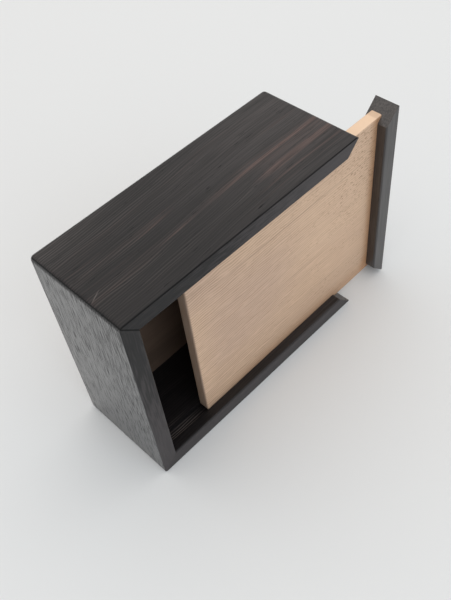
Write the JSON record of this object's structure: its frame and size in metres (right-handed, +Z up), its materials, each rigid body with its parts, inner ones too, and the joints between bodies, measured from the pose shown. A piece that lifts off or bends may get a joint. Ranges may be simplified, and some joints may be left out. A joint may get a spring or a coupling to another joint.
{
  "type": "sliding lid wooden box",
  "caption": "Small mitred keepsake box in near-black wood with a pale lid panel that slides in grooves and carries the low end's top as its end piece.",
  "frame": {"origin": "middle of the face that the box stands on, the lower long wall's outer face", "axes": "+X the way the lid draws out, -Y the way the lid faces, +Z up; the box stands on one long wall as in the picture"},
  "size_m": [0.1185, 0.04, 0.08],
  "materials": {
    "dark_wood": "near-black, open-pored hardwood with reddish streaks, oiled to a low sheen",
    "brown_wood": "plain mid-brown hardwood, sanded and left matt",
    "pale_wood": "pale, fine-pored hardwood with short flecks, sanded smooth and matt"
  },
  "bodies": {
    "box": {"upper_wall": "dark_wood", "lower_wall": "dark_wood", "closed_end_wall": "dark_wood", "low_end_wall": "dark_wood", "floor_panel": "brown_wood"},
    "lid": {"lid_panel": "pale_wood", "lid_end_piece": "dark_wood"}
  },
  "joints": [
    {"name": "lid_slide", "type": "slide", "parent": "box", "child": "lid", "axis": [1, 0, 0], "range_m": [-0.0205, 0.0755]}
  ]
}
